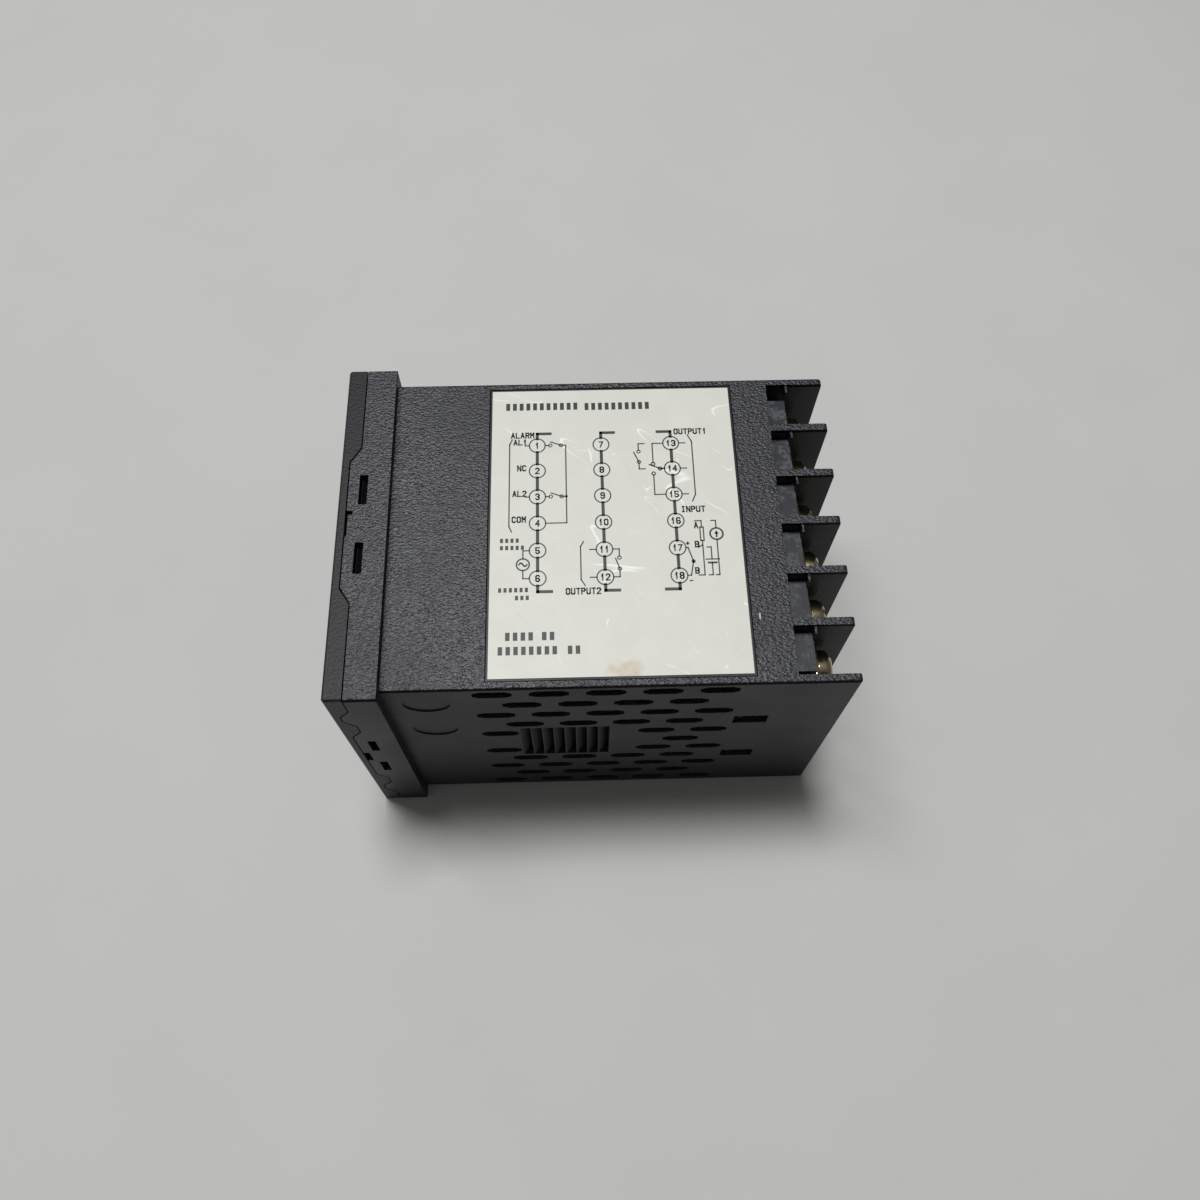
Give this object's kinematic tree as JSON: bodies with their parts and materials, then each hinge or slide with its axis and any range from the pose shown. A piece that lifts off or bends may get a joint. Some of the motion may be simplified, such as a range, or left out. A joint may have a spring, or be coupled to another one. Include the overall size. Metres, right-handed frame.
{
  "type": "panel process controller",
  "caption": "Square panel-mounted controller with a flanged front, window and keys, a vented ratcheted case and a finned screw terminal end.",
  "frame": {"origin": "centre of the panel seat, the rear face of the front flange", "axes": "+X from the front frame to the terminal end, +Y towards the top of the front when mounted, +Z out of the labelled side, which lies uppermost as stored"},
  "size_m": [0.0659, 0.048, 0.048],
  "materials": {
    "case_plastic": "spark-eroded moulded charcoal plastic",
    "front_plastic": "fine satin moulded black plastic",
    "insert_plastic": "smooth moulded dark grey plastic",
    "label_film": "matt pale grey polyester film",
    "window_plastic": "polished smoked acrylic",
    "display_plastic": "dark grey moulded display face",
    "light_guide": "clear moulded light guide",
    "key_plastic": "soft satin dark grey key",
    "switch_plastic": "moulded black",
    "plunger_plastic": "moulded cream",
    "board_laminate": "green lacquered glass laminate",
    "header_plastic": "moulded black",
    "ferrite": "sintered dark ferrite",
    "winding_tape": "yellow polyester tape",
    "can_aluminium": "drawn can",
    "fuse_plastic": "moulded brown",
    "chip_plastic": "moulded epoxy",
    "relay_plastic": "moulded blue cover",
    "screw_steel": "zinc-plated steel with a warm passivate",
    "contact_metal": "nickel-plated brass strip"
  },
  "bodies": {
    "unit": {"case": "case_plastic", "front_bezel": "front_plastic", "terminal_block": "insert_plastic", "rating_label": "label_film", "display_window": "window_plastic", "process_display": "display_plastic", "setpoint_display": "display_plastic", "indicator_lamp_1": "light_guide", "indicator_lamp_2": "light_guide", "indicator_lamp_3": "light_guide", "indicator_lamp_4": "light_guide", "key_switch_1": "switch_plastic", "key_switch_2": "switch_plastic", "key_switch_3": "switch_plastic", "key_switch_4": "switch_plastic", "panel_board": "board_laminate", "power_board": "board_laminate", "output_board": "board_laminate", "input_board": "board_laminate", "board_header_1": "header_plastic", "board_header_2": "header_plastic", "board_header_3": "header_plastic", "transformer_core": "ferrite", "transformer_winding": "winding_tape", "smoothing_capacitor": "can_aluminium", "fuse": "fuse_plastic", "controller_chip": "chip_plastic", "relay_1": "relay_plastic", "relay_2": "relay_plastic", "relay_3": "relay_plastic", "terminal_screws": "screw_steel", "contact_01": "contact_metal", "contact_02": "contact_metal", "contact_03": "contact_metal", "contact_04": "contact_metal", "contact_05": "contact_metal", "contact_06": "contact_metal", "contact_07": "contact_metal", "contact_08": "contact_metal", "contact_09": "contact_metal", "contact_10": "contact_metal", "contact_11": "contact_metal", "contact_12": "contact_metal", "contact_13": "contact_metal", "contact_14": "contact_metal", "contact_15": "contact_metal", "contact_16": "contact_metal", "contact_17": "contact_metal", "contact_18": "contact_metal"},
    "key_set": {"key_set": "key_plastic", "switch_plunger_1": "plunger_plastic"},
    "key_shift": {"key_shift": "key_plastic", "switch_plunger_2": "plunger_plastic"},
    "key_down": {"key_down": "key_plastic", "switch_plunger_3": "plunger_plastic"},
    "key_up": {"key_up": "key_plastic", "switch_plunger_4": "plunger_plastic"}
  },
  "joints": [
    {"name": "key_set_press", "type": "slide", "parent": "unit", "child": "key_set", "axis": [1, 0, 0], "range_m": [0, 0.0003], "stiffness_N_per_m": 3000},
    {"name": "key_shift_press", "type": "slide", "parent": "unit", "child": "key_shift", "axis": [1, 0, 0], "range_m": [0, 0.0003], "stiffness_N_per_m": 3000},
    {"name": "key_down_press", "type": "slide", "parent": "unit", "child": "key_down", "axis": [1, 0, 0], "range_m": [0, 0.0003], "stiffness_N_per_m": 3000},
    {"name": "key_up_press", "type": "slide", "parent": "unit", "child": "key_up", "axis": [1, 0, 0], "range_m": [0, 0.0003], "stiffness_N_per_m": 3000}
  ]
}
